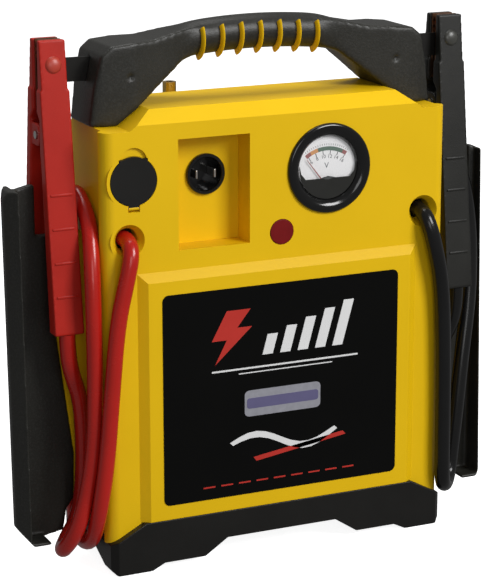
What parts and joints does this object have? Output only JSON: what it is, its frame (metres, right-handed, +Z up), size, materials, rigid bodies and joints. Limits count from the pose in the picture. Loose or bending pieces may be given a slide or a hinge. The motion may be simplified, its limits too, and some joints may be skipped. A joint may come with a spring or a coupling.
{
  "type": "jump starter pack",
  "caption": "Portable lead-acid jump starter with carry handle, side cable holsters, spring clamps, charge meter, accessory outlet, charging inlet and built-in air compressor.",
  "frame": {"origin": "on the floor under the middle of the pack, halfway between the front and rear of its base", "axes": "+X to the right as the front label is faced, +Y from the front to the back, +Z up"},
  "size_m": [0.409, 0.1233, 0.4185],
  "materials": {
    "yellow_shell": "satin moulded ABS with a fine texture",
    "black_shell": "fine-textured black plastic",
    "black_gloss": "polished black plastic",
    "red_plastic": "semi-gloss red insulation",
    "red_rubber": "glossy red vinyl sheath",
    "black_rubber": "semi-gloss black vinyl sheath",
    "foot_rubber": "matte",
    "clear_lens": "clear polished",
    "dial_face": "printed dial",
    "label_print": "printed film",
    "maroon_button": "matte dark red",
    "steel": "zinc plated",
    "copper": "copper alloy jaw",
    "brass_metal": "machined brass",
    "battery_case": "matte",
    "circuit": "green laminate",
    "cast_metal": "die cast"
  },
  "bodies": {
    "pack": {"air_chuck": "brass_metal", "air_hose": "black_rubber", "base_tray": "black_shell", "battery": "battery_case", "battery_terminals": "steel", "black_cable": "black_rubber", "black_clamp_front": "black_shell", "black_clamp_front_jaw": "copper", "black_clamp_front_rivet": "steel", "black_clamp_pin": "steel", "black_clamp_spring": "steel", "cable_glands": "black_rubber", "cap_hinge_pin": "steel", "charge_inlet": "black_shell", "charger_board": "circuit", "clamp_perches": "black_shell", "compressor_cylinder": "cast_metal", "compressor_motor": "steel", "front_housing": "yellow_shell", "gauge_lens": "clear_lens", "grip_ribs": "yellow_shell", "handle_front": "black_shell", "handle_rear": "black_shell", "hose_clips": "black_shell", "hose_elbow": "black_shell", "housing_screws": "steel", "inlet_prongs": "steel", "label_plate": "label_print", "left_holster": "black_shell", "meter_bezel": "black_gloss", "meter_body": "black_shell", "meter_cover": "black_shell", "meter_dial": "dial_face", "meter_lens": "clear_lens", "outlet_contact": "brass_metal", "outlet_socket": "black_shell", "pressure_gauge": "black_shell", "rear_housing": "yellow_shell", "red_cable": "red_rubber", "red_clamp_front": "red_plastic", "red_clamp_front_jaw": "copper", "red_clamp_front_rivet": "steel", "red_clamp_pin": "steel", "red_clamp_spring": "steel", "right_holster": "black_shell", "rubber_feet": "foot_rubber", "switch_frame": "black_shell", "test_switch": "black_shell"},
    "outlet_lid": {"outlet_cap": "black_shell"},
    "button": {"test_button": "maroon_button"},
    "volt_needle": {"meter_needle": "black_gloss"},
    "red_clamp_arm": {"red_clamp_rear": "red_plastic", "red_clamp_rear_jaw": "copper", "red_clamp_rear_rivet": "steel"},
    "black_clamp_arm": {"black_clamp_rear": "black_shell", "black_clamp_rear_jaw": "copper", "black_clamp_rear_rivet": "steel"},
    "rear_rocker": {"compressor_switch": "maroon_button"},
    "pressure_hand": {"gauge_needle": "maroon_button"},
    "fan": {"cooling_fan": "black_shell"}
  },
  "joints": [
    {"name": "outlet_cap_hinge", "type": "hinge", "parent": "pack", "child": "outlet_lid", "pos_m": [-0.1197, -0.0474, 0.2864], "axis": [1, 0, 0], "range_deg": [0, 110]},
    {"name": "test_button_press", "type": "slide", "parent": "pack", "child": "button", "axis": [0, 1, 0], "range_m": [0, 0.0015], "stiffness_N_per_m": 900, "springref_m": -0.0008},
    {"name": "volt_needle_swing", "type": "hinge", "parent": "pack", "child": "volt_needle", "pos_m": [0.041, -0.0465, 0.288], "axis": [0, 1, 0], "range_deg": [0, 76]},
    {"name": "red_clamp_hinge", "type": "hinge", "parent": "pack", "child": "red_clamp_arm", "pos_m": [-0.167, 0, 0.338], "axis": [-1, 0, 0], "range_deg": [0, 7], "stiffness_Nm_per_rad": 12, "springref_deg": -20.05},
    {"name": "black_clamp_hinge", "type": "hinge", "parent": "pack", "child": "black_clamp_arm", "pos_m": [0.167, 0, 0.338], "axis": [-1, 0, 0], "range_deg": [0, 7], "stiffness_Nm_per_rad": 12, "springref_deg": -20.05},
    {"name": "rear_switch_rock", "type": "hinge", "parent": "pack", "child": "rear_rocker", "pos_m": [0.09, 0.046, 0.25], "axis": [0, 0, 1], "range_deg": [0, 14]},
    {"name": "gauge_hand_swing", "type": "hinge", "parent": "pack", "child": "pressure_hand", "pos_m": [0.09, 0.047, 0.3], "axis": [0, 1, 0], "range_deg": [0, 270]},
    {"name": "fan_spin", "type": "hinge", "parent": "pack", "child": "fan", "pos_m": [0.04, 0.014, 0.307], "axis": [0, 0, 1], "continuous": true}
  ]
}
